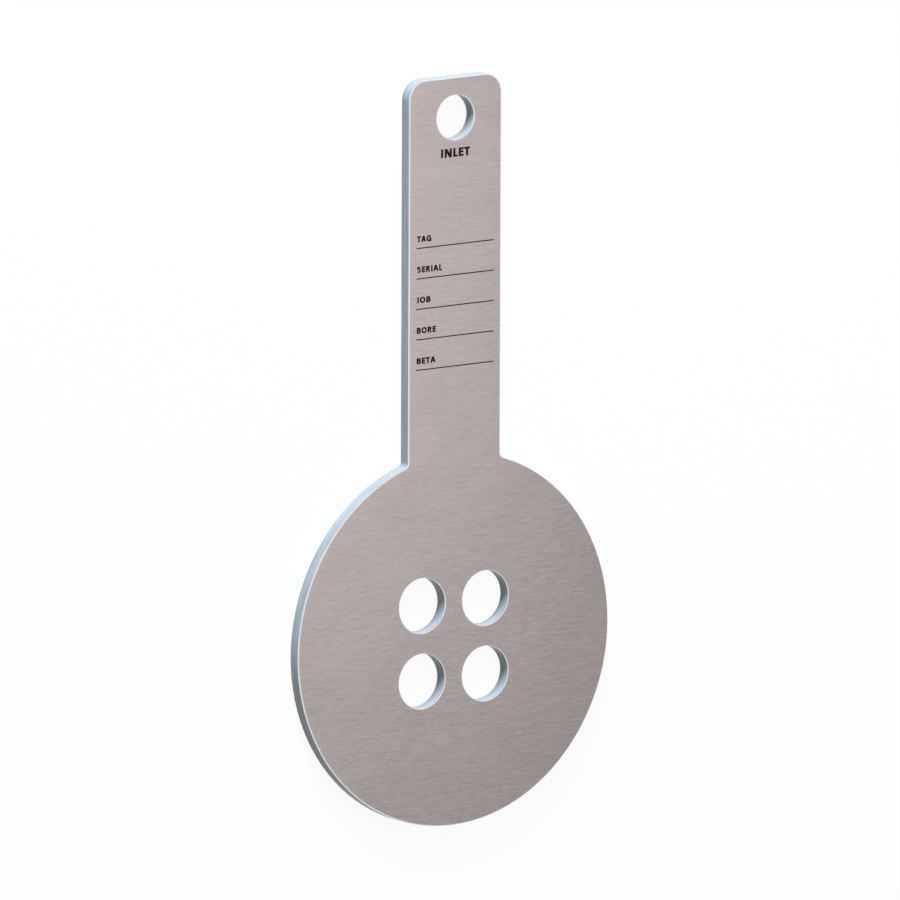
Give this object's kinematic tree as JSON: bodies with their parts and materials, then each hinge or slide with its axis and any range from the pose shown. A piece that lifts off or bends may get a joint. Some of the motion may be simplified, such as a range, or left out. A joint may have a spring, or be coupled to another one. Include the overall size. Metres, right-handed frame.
{
  "type": "orifice plate",
  "caption": "Flat round orifice plate with a square group of flow holes at its centre and a long handle with a hanging hole, cut from one brushed steel sheet.",
  "frame": {"origin": "centre of the disc on the outlet face, which is the face that the plate lies on", "axes": "+Z out of the inlet face, +Y along the handle away from the disc, +X across the handle"},
  "size_m": [0.1048, 0.2104, 0.004],
  "materials": {
    "plate_steel": "fine brushed grain across the handle, bright broken edges",
    "marking": "thin matt black marking"
  },
  "bodies": {
    "root": {"orifice_plate": "plate_steel"}
  },
  "joints": []
}
